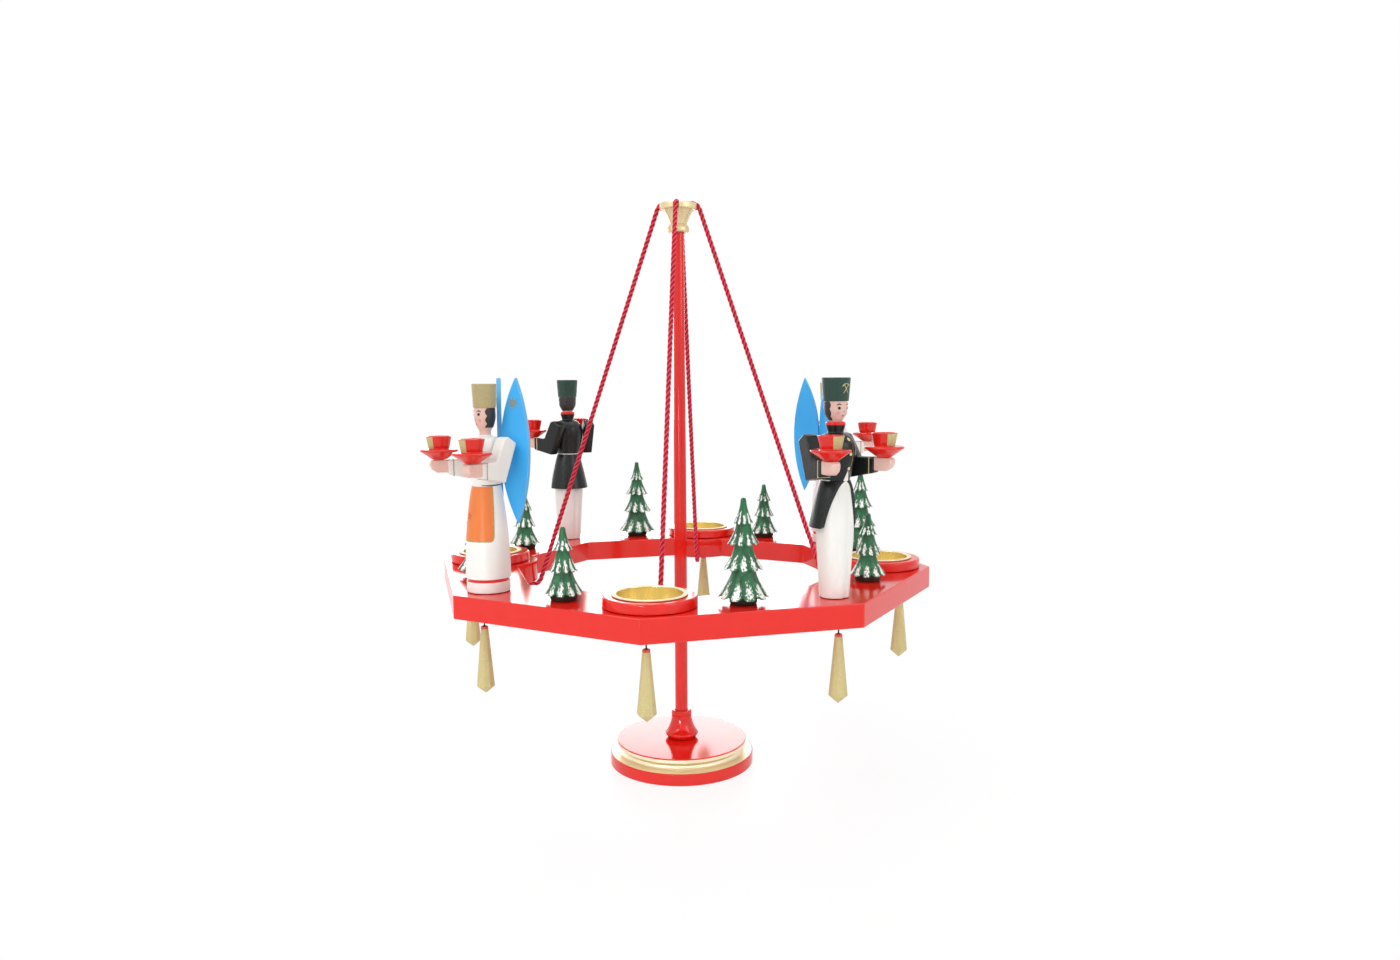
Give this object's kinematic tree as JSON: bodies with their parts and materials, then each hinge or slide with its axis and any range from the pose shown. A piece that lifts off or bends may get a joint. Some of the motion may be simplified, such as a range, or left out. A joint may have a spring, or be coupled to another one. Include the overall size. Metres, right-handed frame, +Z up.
{
  "type": "advent candle holder",
  "caption": "Octagonal wooden ring hung on cords from a turned stand, with tea-light cups, candle-bearing angels and miners, fir trees and hanging drops.",
  "frame": {"origin": "centre of the base's underside", "axes": "+Z up along the post, -Y towards the front tea light, +X to its right as seen from the front"},
  "size_m": [0.36, 0.36, 0.4094],
  "materials": {
    "red_lacquer": "glossy red lacquer on wood",
    "gold_paint": "pale gold paint on wood",
    "insert_brass": "thin brass-coloured sheet",
    "cord": "twisted crimson cord",
    "fir_green": "green paint with white brushed edges",
    "white_paint": "satin white paint",
    "black_paint": "satin black paint",
    "skin_paint": "satin skin-coloured paint",
    "blue_paint": "satin blue paint"
  },
  "bodies": {
    "stand": {"base_disc": "red_lacquer", "foot_collar": "red_lacquer", "post": "red_lacquer"},
    "crown": {"crown": "gold_paint"},
    "cord_knot": {"cord_knot": "cord"},
    "ring": {"octagon_ring": "red_lacquer", "tealight_ring_front": "red_lacquer", "tealight_ring_right": "red_lacquer", "tealight_ring_back": "red_lacquer", "tealight_ring_left": "red_lacquer", "cord_front": "cord", "cord_right": "cord", "cord_back": "cord", "cord_left": "cord", "tree_large_1": "fir_green", "tree_large_2": "fir_green", "tree_large_3": "fir_green", "tree_large_4": "fir_green", "tree_small_1": "fir_green", "tree_small_2": "fir_green", "tree_small_3": "fir_green", "tree_small_4": "fir_green", "miner_front_body": "black_paint", "miner_front_head": "skin_paint", "miner_front_arm_left": "black_paint", "miner_front_cup_left": "red_lacquer", "miner_front_arm_right": "black_paint", "miner_front_cup_right": "red_lacquer", "angel_back_body": "white_paint", "angel_back_arm_left": "white_paint", "angel_back_cup_left": "red_lacquer", "angel_back_wing_left": "blue_paint", "angel_back_arm_right": "white_paint", "angel_back_cup_right": "red_lacquer", "angel_back_wing_right": "blue_paint", "miner_back_body": "black_paint", "miner_back_head": "skin_paint", "miner_back_arm_left": "black_paint", "miner_back_cup_left": "red_lacquer", "miner_back_arm_right": "black_paint", "miner_back_cup_right": "red_lacquer", "angel_front_body": "white_paint", "angel_front_arm_left": "white_paint", "angel_front_cup_left": "red_lacquer", "angel_front_wing_left": "blue_paint", "angel_front_arm_right": "white_paint", "angel_front_cup_right": "red_lacquer", "angel_front_wing_right": "blue_paint"},
    "drop_1": {"drop_1": "gold_paint"},
    "drop_2": {"drop_2": "gold_paint"},
    "drop_3": {"drop_3": "gold_paint"},
    "drop_4": {"drop_4": "gold_paint"},
    "drop_5": {"drop_5": "gold_paint"},
    "drop_6": {"drop_6": "gold_paint"},
    "drop_7": {"drop_7": "gold_paint"},
    "drop_8": {"drop_8": "gold_paint"},
    "tealight_insert_front": {"tealight_insert_front": "insert_brass"},
    "tealight_insert_right": {"tealight_insert_right": "insert_brass"},
    "tealight_insert_back": {"tealight_insert_back": "insert_brass"},
    "tealight_insert_left": {"tealight_insert_left": "insert_brass"}
  },
  "joints": [
    {"name": "crown_turn", "type": "hinge", "parent": "stand", "child": "crown", "pos_m": [0, 0, 0.396], "axis": [0, 0, 1], "continuous": true},
    {"name": "ring_sway_front_back", "type": "hinge", "parent": "crown", "child": "cord_knot", "pos_m": [0, 0, 0.4065], "axis": [1, 0, 0], "range_deg": [-3, 3]},
    {"name": "ring_sway_left_right", "type": "hinge", "parent": "cord_knot", "child": "ring", "pos_m": [0, 0, 0.4065], "axis": [0, 1, 0], "range_deg": [-3, 3]},
    {"name": "drop_1_swing", "type": "hinge", "parent": "ring", "child": "drop_1", "pos_m": [0, -0.159, 0.1338], "axis": [1, 0, 0], "range_deg": [-30, 30]},
    {"name": "drop_2_swing", "type": "hinge", "parent": "ring", "child": "drop_2", "pos_m": [0.11243, -0.11243, 0.1338], "axis": [0.7071, 0.7071, 0], "range_deg": [-30, 30]},
    {"name": "drop_3_swing", "type": "hinge", "parent": "ring", "child": "drop_3", "pos_m": [0.159, 0, 0.1338], "axis": [0, 1, 0], "range_deg": [-30, 30]},
    {"name": "drop_4_swing", "type": "hinge", "parent": "ring", "child": "drop_4", "pos_m": [0.11243, 0.11243, 0.1338], "axis": [-0.7071, 0.7071, 0], "range_deg": [-30, 30]},
    {"name": "drop_5_swing", "type": "hinge", "parent": "ring", "child": "drop_5", "pos_m": [0, 0.159, 0.1338], "axis": [-1, 0, 0], "range_deg": [-30, 30]},
    {"name": "drop_6_swing", "type": "hinge", "parent": "ring", "child": "drop_6", "pos_m": [-0.11243, 0.11243, 0.1338], "axis": [-0.7071, -0.7071, 0], "range_deg": [-30, 30]},
    {"name": "drop_7_swing", "type": "hinge", "parent": "ring", "child": "drop_7", "pos_m": [-0.159, 0, 0.1338], "axis": [0, -1, 0], "range_deg": [-30, 30]},
    {"name": "drop_8_swing", "type": "hinge", "parent": "ring", "child": "drop_8", "pos_m": [-0.11243, -0.11243, 0.1338], "axis": [0.7071, -0.7071, 0], "range_deg": [-30, 30]},
    {"name": "tealight_insert_front_lift", "type": "slide", "parent": "ring", "child": "tealight_insert_front", "axis": [0, 0, 1], "range_m": [0, 0.03]},
    {"name": "tealight_insert_right_lift", "type": "slide", "parent": "ring", "child": "tealight_insert_right", "axis": [0, 0, 1], "range_m": [0, 0.03]},
    {"name": "tealight_insert_back_lift", "type": "slide", "parent": "ring", "child": "tealight_insert_back", "axis": [0, 0, 1], "range_m": [0, 0.03]},
    {"name": "tealight_insert_left_lift", "type": "slide", "parent": "ring", "child": "tealight_insert_left", "axis": [0, 0, 1], "range_m": [0, 0.03]}
  ]
}
